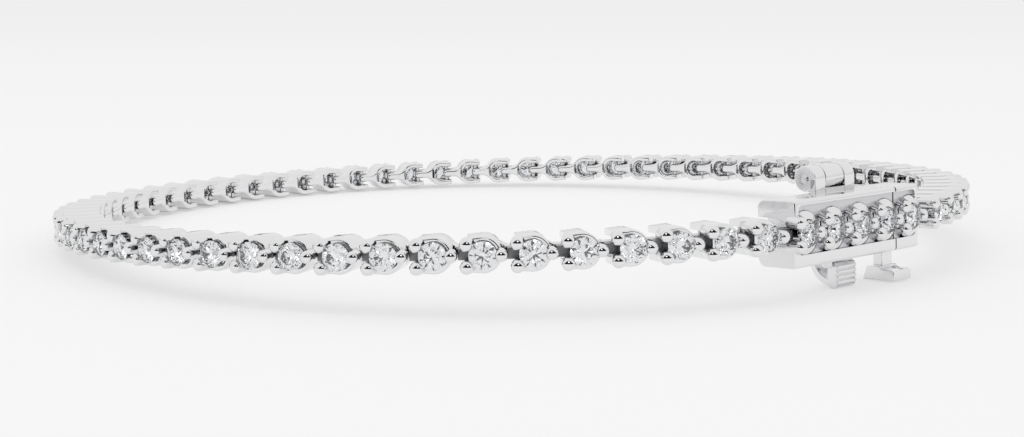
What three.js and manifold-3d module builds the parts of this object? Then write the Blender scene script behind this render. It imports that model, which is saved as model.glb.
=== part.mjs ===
// A diamond tennis bracelet in white gold, closed into a loop and lying on its edge.
// Sixty-seven three-prong links are hinged on vertical pins, and a straight box clasp with
// five more stones closes the loop. A tongue slides into the box, and a hinged safety latch
// wraps the wrist side and the underside of the box. Millimetres, +Z up, the floor at z = 0.

import * as THREE from 'three';
import { mergeVertices } from 'three/addons/utils/BufferGeometryUtils.js';
import Module from 'manifold-3d';

const wasm = await Module();
wasm.setup();

// The loop: its length round the hinge pins is pitches times pitch, about 7 inches.
const LINK_PITCH = 2.47;
const LINK_COUNT = 67;
const CLASP_PITCHES = 5;
const CLASP_AZIMUTH = -46.6;

// A place on a link or on the clasp is given as out, along and up: out from the hinge line
// away from the wrist, along the chain anticlockwise, and up across the bracelet's width.
const WRIST_FACE = -0.62;
const GALLERY_TOP = 1.45;
const GIRDLE_OUT = 2.0;

// The open head that holds a stone, with two fork arms.
const HEAD_RADIUS = 0.98;
const HEAD_HOLE_RADIUS = 0.6;
const HEAD_SIDES = 10;
const HEAD_ALONG = 0.5;
const ARM_OUTER = 0.91;
const ARM_INNER = 0.56;
const ARM_REACH = 0.85;

// The tail bar, which enters the next link's fork.
const BAR_HALF_WIDTH = 0.3;
const BAR_TOP = 0.42;
const BAR_PAST_PIN = 0.3;
const PIN_RADIUS = 0.15;
const PIN_CLEARANCE = 0.06;
const PIN_SIDES = 4;
const PIN_INTO_ARM = 0.12;

// Prongs: a pair above the fork arms and a single one above the tail bar.
const PAIR_ALONG = 0.91;
const PAIR_UP = 0.59;
const PAIR_FOOT_ALONG = 0.6;
const SINGLE_ALONG = 1.0;
const PRONG_FOOT_RADIUS = 0.15;
const PRONG_TIP_RADIUS = 0.25;
const PRONG_FOOT_SUNK = 0.1;
const PRONG_TIP_OUT = 0.3;
const PRONG_SIDES = 4;

// Round brilliant stones with a table, eight crown facets and eight pavilion facets.
const STONE_RADIUS = 0.79;
const STONE_FACETS = 8;
const TABLE_SHARE = 0.57;
const CROWN_HEIGHT = 0.24;
const PAVILION_DEPTH = 0.66;

// The clasp's box. Along is measured from the middle of the straight clasp.
const BOX_START = -6.85;
const BOX_END = 2.65;
const BOX_WRIST_FACE = -0.8;
const BOX_OUTER_FACE = 1.75;
const BOX_HALF_HEIGHT = 1.86;
const WRIST_CORNER_RADIUS = 0.5;
const OUTER_CORNER_RADIUS = 0.16;
const RECESS_DEPTH = 0.2;
const LIP_WIDTH = 0.3;
const LOWER_LIP_WIDTH = 0.7;
const RECESS_END_LIP = 0.35;
const TONGUE_ROOM_LENGTH = 5.2;
const TONGUE_ROOM_HALF_HEIGHT = 1.25;
const BOX_WRIST_WALL = 0.4;
const BOX_FRONT_WALL = 0.6;
const TAIL_MOUTH_LENGTH = 1.35;
const TAIL_MOUTH_HALF_HEIGHT = 0.8;
const TAIL_MOUTH_TOP = 1.0;
const RIVET_INTO_WALL = 0.3;

// The clasp's stones stand in the recess on flared collars.
const CLASP_STONE_PITCH = 2.5;
const CLASP_STONE_MIDDLE = -0.8;
const BOX_STONES = 4;
const COLLAR_FOOT_RADIUS = 1.28;
const COLLAR_TOP_RADIUS = 0.92;
const COLLAR_TOP = 1.95;
const COLLAR_SIDES = 10;
const STONE_GAP = 0.04;

// The tongue: a cap, a folded leaf inside the box, a post and a thumb tab below.
const TONGUE_SPLIT = 0.1;
const CAP_LENGTH = 2.25;
const LEAF_THICKNESS = 0.26;
const LEAF_GAP = 0.1;
const LEAF_LENGTH = 4.4;
const LEAF_HALF_HEIGHT = 1.05;
const POST_START = 0.15;
const POST_LENGTH = 1.0;
const POST_OUT = 0.6;
const POST_THICKNESS = 0.65;
const TAB_START = -0.35;
const TAB_LENGTH = 1.75;
const TAB_THICKNESS = 0.66;
const TAB_DEPTH = 2.15;
const TAB_FLARE = 0.25;

// The safety latch and its three-knuckle hinge on top of the box.
const BARREL_RADIUS = 0.75;
const BARREL_SIDES = 12;
const BARREL_OUT = -0.72;
const BARREL_LIFT = 0.02;
const BARREL_PIN_RADIUS = 0.26;
const BARREL_PIN_CLEARANCE = 0.06;
const BARREL_PIN_STANDS_OUT = 0.08;
const LATCH_MIDDLE = -0.75;
const LATCH_WIDTH = 1.7;
const KNUCKLE_GAP = 0.06;
const SIDE_KNUCKLE_LENGTH = 0.95;
const SIDE_KNUCKLE_FOOT = 0.4;
const LATCH_THICKNESS = 0.35;
const LATCH_BOX_GAP = 0.08;
const LATCH_BEND_RADIUS = 1.45;
const LATCH_BEND_STEPS = 5;
const LATCH_BEND_BELOW_BOX = 0.2;
const THUMB_WIDTH = 1.8;
const THUMB_THICKNESS = 0.7;
const THUMB_HEIGHT = 1.32;
const THUMB_OUTER = 0.78;
const THUMB_DROP = 3.68;
const RIB_COUNT = 4;
const RIB_DEPTH = 0.07;
const PEG_RADIUS = 0.3;
const PEG_LENGTH = 0.6;
const PEG_LATCH_GAP = 0.12;
const PEG_OUT = 0.3;

// Values that follow from the ones above.
const DEGREE = Math.PI / 180;
const UP = new THREE.Vector3(0, 0, 1);
const WELD = 1e-5;
const HALF_COUNT = Math.ceil(LINK_COUNT / 2);
const THROUGH = 1;
const hingeRadius = loopRadius();
const claspHalfLength = (CLASP_PITCHES * LINK_PITCH) / 2;
const claspHalfAngle = Math.asin(claspHalfLength / hingeRadius);
const linkAngle = (2 * Math.PI - 2 * claspHalfAngle) / LINK_COUNT;
const claspDistance = hingeRadius * Math.cos(claspHalfAngle);
const recessFloor = BOX_OUTER_FACE - RECESS_DEPTH;
const capStart = BOX_END + TONGUE_SPLIT;
const capEnd = capStart + CAP_LENGTH;
const barrelUp = BOX_HALF_HEIGHT + BARREL_RADIUS + BARREL_LIFT;
const latchOut = BOX_WRIST_FACE - LATCH_BOX_GAP;
const thumbUnder = -THUMB_DROP;

// Hinge pins sit on one circle, with equal chords for the links and one long chord for the clasp.
function loopRadius() {
  let low = (CLASP_PITCHES * LINK_PITCH) / 2;
  let high = (LINK_COUNT + CLASP_PITCHES) * LINK_PITCH;
  for (let step = 0; step < 60; step += 1) {
    const radius = (low + high) / 2;
    const link = Math.asin(LINK_PITCH / 2 / radius);
    const clasp = Math.asin((CLASP_PITCHES * LINK_PITCH) / 2 / radius);
    if (LINK_COUNT * link + clasp > Math.PI) {
      low = radius;
    } else {
      high = radius;
    }
  }
  return (low + high) / 2;
}

// The loop rests on its far links and on the thumb block under the clasp, so it leans.
const farReach = hingeRadius + GALLERY_TOP;
const thumbReach = claspDistance + THUMB_OUTER - THUMB_THICKNESS / 2;
const lean = Math.atan((THUMB_DROP - HEAD_RADIUS) / (farReach + thumbReach));

// How far below the middle plane of the loop the floor lies, at a distance out on the clasp.
function floorBelow(out) {
  return HEAD_RADIUS + (farReach + claspDistance + out) * Math.tan(lean);
}

// Joining and cutting closed meshes.

function toSolid(geometry) {
  const bare = geometry.clone();
  bare.deleteAttribute('normal');
  bare.deleteAttribute('uv');
  const merged = mergeVertices(bare, WELD);
  const index = merged.index.array;
  const faces = [];
  for (let i = 0; i < index.length; i += 3) {
    const [a, b, c] = [index[i], index[i + 1], index[i + 2]];
    if (a !== b && b !== c && c !== a) {
      faces.push(a, b, c);
    }
  }
  const vertProperties = new Float32Array(merged.attributes.position.array);
  return new wasm.Manifold(new wasm.Mesh({ numProp: 3, vertProperties, triVerts: new Uint32Array(faces) }));
}

function toGeometry(solid) {
  const mesh = solid.getMesh();
  const geometry = new THREE.BufferGeometry();
  geometry.setAttribute('position', new THREE.BufferAttribute(mesh.vertProperties, 3));
  geometry.setIndex(new THREE.BufferAttribute(mesh.triVerts, 1));
  return geometry;
}

function join(geometries) {
  return geometries.map(toSolid).reduce((sum, solid) => sum.add(solid));
}

function cut(solid, geometries) {
  return geometries.map(toSolid).reduce((rest, tool) => rest.subtract(tool), solid);
}

// Shapes in the frame out, along and up, which are the local X, Y and Z.

// An outline of (along, up) points, extruded outwards.
function extrudeOut(outline, outStart, outEnd) {
  const shape = new THREE.Shape(outline.map(([along, up]) => new THREE.Vector2(along, up)));
  const geometry = new THREE.ExtrudeGeometry(shape, { depth: outEnd - outStart, bevelEnabled: false });
  const axes = new THREE.Matrix4().makeBasis(new THREE.Vector3(0, 1, 0), UP, new THREE.Vector3(1, 0, 0));
  return geometry.applyMatrix4(axes).translate(outStart, 0, 0);
}

// An outline of (out, up) points, extruded along the chain.
function extrudeAlong(outline, alongStart, alongEnd) {
  const shape = new THREE.Shape(outline.map(([out, up]) => new THREE.Vector2(out, up)));
  const geometry = new THREE.ExtrudeGeometry(shape, { depth: alongEnd - alongStart, bevelEnabled: false });
  return geometry.rotateX(Math.PI / 2).translate(0, alongEnd, 0);
}

// An outline of (out, along) points, extruded upwards.
function extrudeUp(outline, upStart, upEnd) {
  const shape = new THREE.Shape(outline.map(([out, along]) => new THREE.Vector2(out, along)));
  const geometry = new THREE.ExtrudeGeometry(shape, { depth: upEnd - upStart, bevelEnabled: false });
  return geometry.translate(0, 0, upStart);
}

function block(outRange, alongRange, upRange) {
  const size = [outRange, alongRange, upRange].map(([low, high]) => high - low);
  const middle = [outRange, alongRange, upRange].map(([low, high]) => (low + high) / 2);
  return new THREE.BoxGeometry(...size).translate(...middle);
}

// A round bar between two points, with its own radius at each end.
function roundBar(from, to, fromRadius, toRadius, sides) {
  const start = new THREE.Vector3(...from);
  const end = new THREE.Vector3(...to);
  const length = start.distanceTo(end);
  const geometry = new THREE.CylinderGeometry(toRadius, fromRadius, length, sides, 1);
  const direction = end.clone().sub(start).normalize();
  const turn = new THREE.Quaternion().setFromUnitVectors(new THREE.Vector3(0, 1, 0), direction);
  const middle = start.clone().add(end).multiplyScalar(0.5);
  return geometry.applyQuaternion(turn).translate(middle.x, middle.y, middle.z);
}

function arc(centre, radius, startDegrees, endDegrees, steps) {
  const points = [];
  for (let i = 0; i <= steps; i += 1) {
    const angle = (startDegrees + ((endDegrees - startDegrees) * i) / steps) * DEGREE;
    points.push([centre[0] + radius * Math.cos(angle), centre[1] + radius * Math.sin(angle)]);
  }
  return points;
}

// The pieces that every setting shares.

function stone(along, growth) {
  const radius = STONE_RADIUS + growth;
  const profile = [
    new THREE.Vector2(0, GIRDLE_OUT - PAVILION_DEPTH - growth),
    new THREE.Vector2(radius, GIRDLE_OUT),
    new THREE.Vector2(radius * TABLE_SHARE, GIRDLE_OUT + CROWN_HEIGHT + growth),
    new THREE.Vector2(0, GIRDLE_OUT + CROWN_HEIGHT + growth),
  ];
  return new THREE.LatheGeometry(profile, STONE_FACETS).rotateZ(-Math.PI / 2).translate(0, along, 0);
}

// Three prongs lean out from the middle of the head's wall to their bead tips.
function prongs(headAlong) {
  const foot = GALLERY_TOP - PRONG_FOOT_SUNK;
  const tip = GIRDLE_OUT + PRONG_TIP_OUT;
  const wall = (HEAD_RADIUS + HEAD_HOLE_RADIUS) / 2;
  const arm = (ARM_OUTER + ARM_INNER) / 2;
  const places = [
    [wall, 0, SINGLE_ALONG, 0],
    [-PAIR_FOOT_ALONG, arm, -PAIR_ALONG, PAIR_UP],
    [-PAIR_FOOT_ALONG, -arm, -PAIR_ALONG, -PAIR_UP],
  ];
  return places.map(([footAlong, footUp, tipAlong, tipUp]) =>
    roundBar(
      [foot, headAlong + footAlong, footUp],
      [tip, headAlong + tipAlong, tipUp],
      PRONG_FOOT_RADIUS,
      PRONG_TIP_RADIUS,
      PRONG_SIDES,
    ),
  );
}

// A tail bar, from inside the head's wall to just past its pin.
function tailBar(start, pinAlong) {
  return block([WRIST_FACE, BAR_TOP], [start, pinAlong + BAR_PAST_PIN], [-BAR_HALF_WIDTH, BAR_HALF_WIDTH]);
}

// One link, from the pin of its fork at the origin to the pin of its tail one pitch along.

function forkHead() {
  const step = 360 / HEAD_SIDES;
  const armTip = HEAD_ALONG - ARM_REACH;
  const centre = [HEAD_ALONG, 0];
  const outer = arc(centre, HEAD_RADIUS, -2.5 * step, 2.5 * step, 5);
  const inner = arc(centre, HEAD_HOLE_RADIUS, 2.5 * step, -2.5 * step, 4);
  return extrudeOut(
    [[armTip, -ARM_OUTER], ...outer, [armTip, ARM_OUTER], [armTip, ARM_INNER], ...inner, [armTip, -ARM_INNER]],
    WRIST_FACE,
    GALLERY_TOP,
  );
}

function hingePin(along, halfLength, radius) {
  return roundBar([0, along, -halfLength], [0, along, halfLength], radius, radius, PIN_SIDES);
}

function link() {
  const bar = tailBar(HEAD_ALONG + (HEAD_RADIUS + HEAD_HOLE_RADIUS) / 2, LINK_PITCH);
  const pin = hingePin(0, ARM_INNER + PIN_INTO_ARM, PIN_RADIUS);
  return toGeometry(join([forkHead(), bar, pin, ...prongs(HEAD_ALONG), stone(HEAD_ALONG, 0)]));
}

// The direction that points outwards from the chord of link number i.
function linkAzimuth(i) {
  return CLASP_AZIMUTH * DEGREE + claspHalfAngle + (i + 0.5) * linkAngle;
}

function placeLink(geometry, i) {
  const azimuth = linkAzimuth(i);
  const pinAzimuth = azimuth - linkAngle / 2;
  const pin = new THREE.Vector3(Math.cos(pinAzimuth), Math.sin(pinAzimuth), 0).multiplyScalar(hingeRadius);
  return geometry.clone().rotateZ(azimuth).translate(pin.x, pin.y, 0);
}

// A run of links fused at their pins, with their stones.
function linkRun(first, count) {
  const pattern = link();
  const links = Array.from({ length: count }, (_, i) => toSolid(placeLink(pattern, first + i)));
  return links.reduce((run, next) => run.add(next));
}

// The first half's last bar turns on the pin of the second half's first fork.
function firstHalf() {
  const bore = hingePin(LINK_PITCH, HEAD_RADIUS, PIN_RADIUS + PIN_CLEARANCE);
  return cut(linkRun(0, HALF_COUNT), [placeLink(bore, HALF_COUNT - 1)]);
}

// The second half's last bar carries the rivet that turns in the clasp's box.
function secondHalf() {
  const rivet = hingePin(LINK_PITCH, TAIL_MOUTH_HALF_HEIGHT + RIVET_INTO_WALL, PIN_RADIUS);
  return linkRun(HALF_COUNT, LINK_COUNT - HALF_COUNT).add(toSolid(placeLink(rivet, LINK_COUNT - 1)));
}

// The clasp, in its own frame, from its middle.

function claspStoneAlong(i) {
  return CLASP_STONE_MIDDLE + (i - (BOX_STONES - 2)) * CLASP_STONE_PITCH;
}

// The box's section of (out, up) points, with round corners, wider on the wrist side.
function claspSection() {
  const wrist = BOX_WRIST_FACE + WRIST_CORNER_RADIUS;
  const wristUp = BOX_HALF_HEIGHT - WRIST_CORNER_RADIUS;
  const outer = BOX_OUTER_FACE - OUTER_CORNER_RADIUS;
  const outerUp = BOX_HALF_HEIGHT - OUTER_CORNER_RADIUS;
  return [
    ...arc([wrist, wristUp], WRIST_CORNER_RADIUS, 180, 90, 3),
    ...arc([outer, outerUp], OUTER_CORNER_RADIUS, 90, 0, 2),
    ...arc([outer, -outerUp], OUTER_CORNER_RADIUS, 0, -90, 2),
    ...arc([wrist, -wristUp], WRIST_CORNER_RADIUS, -90, -180, 3),
  ];
}

// The shallow recess in the outer face, with a wider lip below the stones than above.
function recess(start, end) {
  const width = [LOWER_LIP_WIDTH - BOX_HALF_HEIGHT, BOX_HALF_HEIGHT - LIP_WIDTH];
  return block([recessFloor, BOX_OUTER_FACE + THROUGH], [start, end], width);
}

function collar(along) {
  const height = COLLAR_TOP - recessFloor;
  const cone = new THREE.CylinderGeometry(COLLAR_TOP_RADIUS, COLLAR_FOOT_RADIUS, height, COLLAR_SIDES, 1);
  return cone.rotateZ(-Math.PI / 2).translate((COLLAR_TOP + recessFloor) / 2, along, 0);
}

function setting(along) {
  return [collar(along), ...prongs(along)];
}

function latchEdges() {
  return [LATCH_MIDDLE - LATCH_WIDTH / 2, LATCH_MIDDLE + LATCH_WIDTH / 2];
}

function barrel(start, end, radius, sides) {
  return roundBar([BARREL_OUT, start, barrelUp], [BARREL_OUT, end, barrelUp], radius, radius, sides);
}

function sideKnuckles() {
  const [start, end] = latchEdges();
  const places = [
    [start - KNUCKLE_GAP - SIDE_KNUCKLE_LENGTH, start - KNUCKLE_GAP],
    [end + KNUCKLE_GAP, end + KNUCKLE_GAP + SIDE_KNUCKLE_LENGTH],
  ];
  return places.flatMap(([from, to]) => [
    barrel(from, to, BARREL_RADIUS, BARREL_SIDES),
    block(
      [BARREL_OUT + BARREL_RADIUS - SIDE_KNUCKLE_FOOT, BARREL_OUT + BARREL_RADIUS],
      [from, to],
      [BOX_HALF_HEIGHT - SIDE_KNUCKLE_FOOT, barrelUp],
    ),
  ]);
}

function barrelPinEnds() {
  const [start, end] = latchEdges();
  const past = KNUCKLE_GAP + SIDE_KNUCKLE_LENGTH + BARREL_PIN_STANDS_OUT;
  return [start - past, end + past];
}

function catchPeg() {
  const along = latchEdges()[0] - PEG_LATCH_GAP - PEG_RADIUS;
  const top = -BOX_HALF_HEIGHT + PEG_RADIUS;
  const tip = -BOX_HALF_HEIGHT - PEG_LENGTH;
  return roundBar([PEG_OUT, along, top], [PEG_OUT, along, tip], PEG_RADIUS, PEG_RADIUS, COLLAR_SIDES);
}

function claspBox() {
  const body = extrudeAlong(claspSection(), BOX_START, BOX_END);
  const tongueRoom = block(
    [BOX_WRIST_FACE + BOX_WRIST_WALL, BOX_OUTER_FACE - BOX_FRONT_WALL],
    [BOX_END - TONGUE_ROOM_LENGTH, BOX_END + THROUGH],
    [-TONGUE_ROOM_HALF_HEIGHT, TONGUE_ROOM_HALF_HEIGHT],
  );
  const tailMouth = block(
    [BOX_WRIST_FACE - THROUGH, TAIL_MOUTH_TOP],
    [BOX_START - THROUGH, BOX_START + TAIL_MOUTH_LENGTH],
    [-TAIL_MOUTH_HALF_HEIGHT, TAIL_MOUTH_HALF_HEIGHT],
  );
  const rivetRoom = TAIL_MOUTH_HALF_HEIGHT + RIVET_INTO_WALL + PIN_CLEARANCE;
  const rivetBore = hingePin(-claspHalfLength, rivetRoom, PIN_RADIUS + PIN_CLEARANCE);
  const hollow = cut(toSolid(body), [recess(BOX_START + RECESS_END_LIP, BOX_END + THROUGH), tongueRoom]);
  const places = Array.from({ length: BOX_STONES }, (_, i) => claspStoneAlong(i));
  const dressed = hollow.add(join([...sideKnuckles(), catchPeg(), ...places.flatMap(setting)]));
  const [pinStart, pinEnd] = barrelPinEnds();
  const pinBore = barrel(pinStart, pinEnd, BARREL_PIN_RADIUS + BARREL_PIN_CLEARANCE, BARREL_SIDES);
  const seats = places.map((along) => stone(along, STONE_GAP));
  return cut(dressed, [tailMouth, rivetBore, pinBore, ...seats]);
}

// The tongue's leaf is folded back on itself, so its outline of (out, along) points is a U.
function foldedLeaf() {
  const wrist = BOX_WRIST_FACE + BOX_WRIST_WALL + LEAF_GAP;
  const outer = BOX_OUTER_FACE - BOX_FRONT_WALL - LEAF_GAP;
  const fold = capStart - LEAF_LENGTH;
  return extrudeUp(
    [
      [wrist, fold],
      [outer, fold],
      [outer, capStart + TONGUE_SPLIT],
      [outer - LEAF_THICKNESS, capStart + TONGUE_SPLIT],
      [outer - LEAF_THICKNESS, fold + LEAF_THICKNESS],
      [wrist + LEAF_THICKNESS, fold + LEAF_THICKNESS],
      [wrist + LEAF_THICKNESS, capStart + TONGUE_SPLIT],
      [wrist, capStart + TONGUE_SPLIT],
    ],
    -LEAF_HALF_HEIGHT,
    LEAF_HALF_HEIGHT,
  );
}

function thumbTab() {
  const start = capStart + TAB_START;
  const inner = BOX_OUTER_FACE - TAB_DEPTH;
  const under = -floorBelow(inner);
  return extrudeAlong(
    [
      [inner, under],
      [BOX_OUTER_FACE, under],
      [BOX_OUTER_FACE, under + TAB_THICKNESS],
      [inner + TAB_FLARE, under + TAB_THICKNESS],
    ],
    start,
    start + TAB_LENGTH,
  );
}

function claspTongue() {
  const body = extrudeAlong(claspSection(), capStart, capEnd);
  const along = claspStoneAlong(BOX_STONES);
  const cap = cut(toSolid(body), [recess(capStart - THROUGH, capEnd - RECESS_END_LIP)]);
  const under = -floorBelow(BOX_OUTER_FACE - TAB_DEPTH);
  const post = block(
    [POST_OUT - POST_THICKNESS, POST_OUT],
    [capStart + POST_START, capStart + POST_START + POST_LENGTH],
    [under + TAB_THICKNESS / 2, -BOX_HALF_HEIGHT + WRIST_CORNER_RADIUS],
  );
  const bar = tailBar(capEnd - WRIST_CORNER_RADIUS, claspHalfLength);
  const dressed = cap.add(join([foldedLeaf(), post, thumbTab(), bar, ...setting(along)]));
  const pinBore = hingePin(claspHalfLength, HEAD_RADIUS, PIN_RADIUS + PIN_CLEARANCE);
  return cut(dressed, [pinBore, stone(along, STONE_GAP)]);
}

// The latch: a middle knuckle, a plate down the wrist side, a bend under the box and a ribbed block.

function latchPlate() {
  const bendUp = -BOX_HALF_HEIGHT - LATCH_BEND_BELOW_BOX;
  const wristSide = latchOut - LATCH_THICKNESS;
  const centre = [wristSide + LATCH_BEND_RADIUS, bendUp];
  const outer = arc(centre, LATCH_BEND_RADIUS, 180, 270, LATCH_BEND_STEPS);
  const inner = arc(centre, LATCH_BEND_RADIUS - LATCH_THICKNESS, 270, 180, LATCH_BEND_STEPS);
  return [[wristSide, barrelUp], ...outer, ...inner, [latchOut, barrelUp]];
}

// The thumb block's section: round above and below, with ribs on its outer side.
function thumbSection() {
  const inner = THUMB_OUTER - THUMB_THICKNESS;
  const radius = THUMB_THICKNESS / 2;
  const centre = inner + radius;
  const top = thumbUnder + THUMB_HEIGHT;
  const low = thumbUnder + radius;
  const pitch = (THUMB_HEIGHT - 2 * radius) / RIB_COUNT;
  const ribs = [];
  for (let i = 0; i < RIB_COUNT; i += 1) {
    ribs.push([THUMB_OUTER, low + i * pitch], [THUMB_OUTER - RIB_DEPTH, low + (i + 0.5) * pitch]);
  }
  return [
    ...arc([centre, low], radius, -180, -30, 4),
    ...ribs,
    ...arc([centre, top - radius], radius, 0, 180, 5),
  ];
}

function safetyLatch() {
  const [start, end] = latchEdges();
  const thumbStart = LATCH_MIDDLE - THUMB_WIDTH / 2;
  const [pinStart, pinEnd] = barrelPinEnds();
  const latch = join([
    barrel(start, end, BARREL_RADIUS, BARREL_SIDES),
    extrudeAlong(latchPlate(), start, end),
    extrudeAlong(thumbSection(), thumbStart, thumbStart + THUMB_WIDTH),
  ]);
  return cut(latch, [barrel(pinStart, pinEnd, BARREL_PIN_RADIUS + BARREL_PIN_CLEARANCE, BARREL_SIDES)]);
}

function hingeRod() {
  const [start, end] = barrelPinEnds();
  return toSolid(barrel(start, end, BARREL_PIN_RADIUS, BARREL_SIDES));
}

// Materials.

function metal(name, color, roughness) {
  return new THREE.MeshStandardMaterial({ name, color, roughness, metalness: 1 });
}

function diamond() {
  return new THREE.MeshStandardMaterial({ name: 'diamond', color: 0xf4f7fb, roughness: 0.02, metalness: 0 });
}

function piece(name, solid, material) {
  const mesh = new THREE.Mesh(toGeometry(solid), material);
  mesh.name = name;
  return mesh;
}

// Assembly: the loop in its own plane, leaned onto the floor and centred over the origin.

const clasp = new THREE.Group();
clasp.rotation.z = CLASP_AZIMUTH * DEGREE;
clasp.position.set(claspDistance * Math.cos(clasp.rotation.z), claspDistance * Math.sin(clasp.rotation.z), 0);
clasp.add(piece('clasp_box', claspBox(), metal('polished white gold', 0xe9e9ea, 0.12)));
clasp.add(piece('clasp_tongue', claspTongue(), metal('polished white gold', 0xe9e9ea, 0.12)));
clasp.add(piece('safety_latch', safetyLatch(), metal('polished white gold', 0xe9e9ea, 0.12)));
clasp.add(piece('latch_hinge_pin', hingeRod(), metal('white gold wire', 0xdcdcde, 0.2)));
for (let i = 0; i <= BOX_STONES; i += 1) {
  clasp.add(piece(`clasp_stone_${i + 1}`, toSolid(stone(claspStoneAlong(i), 0)), diamond()));
}

const loop = new THREE.Group();
loop.add(piece('link_chain_1', firstHalf(), metal('white gold with diamonds', 0xe9e9ea, 0.12)));
loop.add(piece('link_chain_2', secondHalf(), metal('white gold with diamonds', 0xe9e9ea, 0.12)));
loop.add(clasp);
const leanAxis = new THREE.Vector3(Math.sin(clasp.rotation.z), -Math.cos(clasp.rotation.z), 0);
loop.quaternion.setFromAxisAngle(leanAxis, lean);

const bracelet = new THREE.Group();
bracelet.add(loop);
bracelet.updateMatrixWorld(true);
const extent = new THREE.Box3().setFromObject(bracelet, true);
const middle = extent.getCenter(new THREE.Vector3());
bracelet.position.set(-middle.x, -middle.y, -extent.min.z);

export default bracelet;
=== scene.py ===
"""The looks of a white gold tennis bracelet: its links, clasp, safety latch, stones and studio.

Shapes are worked out in millimetres in the bracelet's own directions, called out, along and up:
out from the hinge line away from the wrist, along the chain anticlockwise, and up across the
bracelet's width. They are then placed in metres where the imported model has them.
"""

import math

import bmesh
import bpy
from bpy.props import FloatProperty, FloatVectorProperty, IntProperty, PointerProperty
from mathutils import Matrix, Vector


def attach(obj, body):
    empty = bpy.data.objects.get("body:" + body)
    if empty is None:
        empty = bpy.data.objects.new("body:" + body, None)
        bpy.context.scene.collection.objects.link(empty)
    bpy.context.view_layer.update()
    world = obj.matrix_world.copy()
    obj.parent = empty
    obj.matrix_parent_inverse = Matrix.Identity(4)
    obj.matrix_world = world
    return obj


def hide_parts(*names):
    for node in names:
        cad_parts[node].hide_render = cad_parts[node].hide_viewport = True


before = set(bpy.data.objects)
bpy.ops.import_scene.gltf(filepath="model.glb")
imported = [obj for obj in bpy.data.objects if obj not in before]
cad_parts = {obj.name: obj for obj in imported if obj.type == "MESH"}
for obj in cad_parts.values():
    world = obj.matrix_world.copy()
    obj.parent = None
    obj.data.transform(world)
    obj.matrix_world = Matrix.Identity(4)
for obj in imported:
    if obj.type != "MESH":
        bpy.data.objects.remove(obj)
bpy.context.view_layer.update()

bl_info = {
    "name": "Tennis Bracelet",
    "version": (1, 0, 0),
    "blender": (4, 5, 0),
    "location": "View3D > Sidebar > Bracelet",
    "description": "Makes a white gold tennis bracelet with its clasp, latch and studio",
    "category": "Add Mesh",
}

MM = 0.001

# Sockets that share their name with others of the same node.
MIX_A = 6
MIX_B = 7
MIX_RESULT = 2
RANDOM_MIN = 2
RANDOM_MAX = 3
RANDOM_VALUE = 1

# The loop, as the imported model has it.
CLASP_AZIMUTH = math.radians(-46.6)
LEAN = math.radians(2.67194)
PIN_CIRCLE = 28.32837
LINK_COUNT = 67
FIRST_HALF_COUNT = 34
CLASP_HALF_ANGLE = math.radians(12.5903)
LINK_STEP = (2 * math.pi - 2 * CLASP_HALF_ANGLE) / LINK_COUNT
CLASP_DISTANCE = PIN_CIRCLE * math.cos(CLASP_HALF_ANGLE)
LOOP_CENTRE = Vector((0, 0, 2.36712))

LEAN_AXIS = Vector((math.sin(CLASP_AZIMUTH), -math.cos(CLASP_AZIMUTH), 0))
LOOP_PLACE = (
    Matrix.Scale(MM, 4) @ Matrix.Translation(LOOP_CENTRE) @ Matrix.Rotation(LEAN, 4, LEAN_AXIS)
)
CLASP_PLACE = (
    LOOP_PLACE @ Matrix.Rotation(CLASP_AZIMUTH, 4, "Z") @ Matrix.Translation((CLASP_DISTANCE, 0, 0))
)

# A link, in millimetres.
PITCH = 2.47
WRIST_FACE = -0.62
GALLERY_TOP = 1.6
GIRDLE_OUT = 1.92
BEAD_TOP = 2.24
BEAD_RISE = 0.56
HEAD_ALONG = 0.5
HEAD_RADIUS = 0.98
HOLE_RADIUS = 0.6
ARM_OUTER = 0.91
ARM_INNER = 0.56
ARM_TIP = -0.35
BAR_HALF_WIDTH = 0.3
BAR_TOP = 0.42
BAR_START = 1.15
BAR_PAST_PIN = 0.29
BAR_END = PITCH + BAR_PAST_PIN
RISER_LEVELS = (0.3, 1.3)
RISER_ALONG = (1.75, 2.6)
RISER_HALF_WIDTH = 0.3
PIN_RADIUS = 0.15
PIN_HALF_LENGTH = 0.68

# Where the beads stand along the chain from the stone's middle, and how far up from it.
PAIR_FOOT_ALONG = -0.6
PAIR_TIP_ALONG = -0.91
PAIR_TIP_UP = 0.59
SINGLE_FOOT_ALONG = 0.82
SINGLE_TIP_ALONG = 1.0

# The clasp, in millimetres from its middle. The slot and the stones' turn are in degrees.
BOX_START = -6.85
BOX_END = 2.65
CAP_START = 2.75
CAP_END = 5.0
BOX_WRIST_FACE = -0.8
BOX_OUTER_FACE = 1.75
BOX_HALF_HEIGHT = 1.86
RECESS_FLOOR = 1.55
RECESS_TOP = 1.56
RECESS_UNDER = -1.16
RECESS_END_LIP = 0.35
CLASP_STONES = (-5.8, -3.3, -0.8, 1.7, 4.2)
CLASP_HALF_LENGTH = 6.175
SEAT_RADIUS = 0.8
SEAT_BOTTOM = 1.2
FIRST_SETTING_SLOT = 74
TONGUE_ROOM_START = -2.55
TONGUE_ROOM_OUT = (-0.4, 1.15)
TONGUE_ROOM_UP = (-1.25, 1.25)
LEAF_LEVELS = ((-0.3, -0.04), (0.79, 1.05))
LEAF_HALF_HEIGHT = 1.05
LEAF_REACH = 4.4
# The clasp's finishes: polished gold, a lighter seat gold as painted light, and a brushed recess
# gold darkened as painted shade.
CLASP_MATERIALS = ("polished clasp gold", "lightened seat gold", "brushed shaded recess gold")
POLISHED, LIGHTENED_SEAT, BRUSHED_SHADED = range(3)
STONE_TURN = 17

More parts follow.
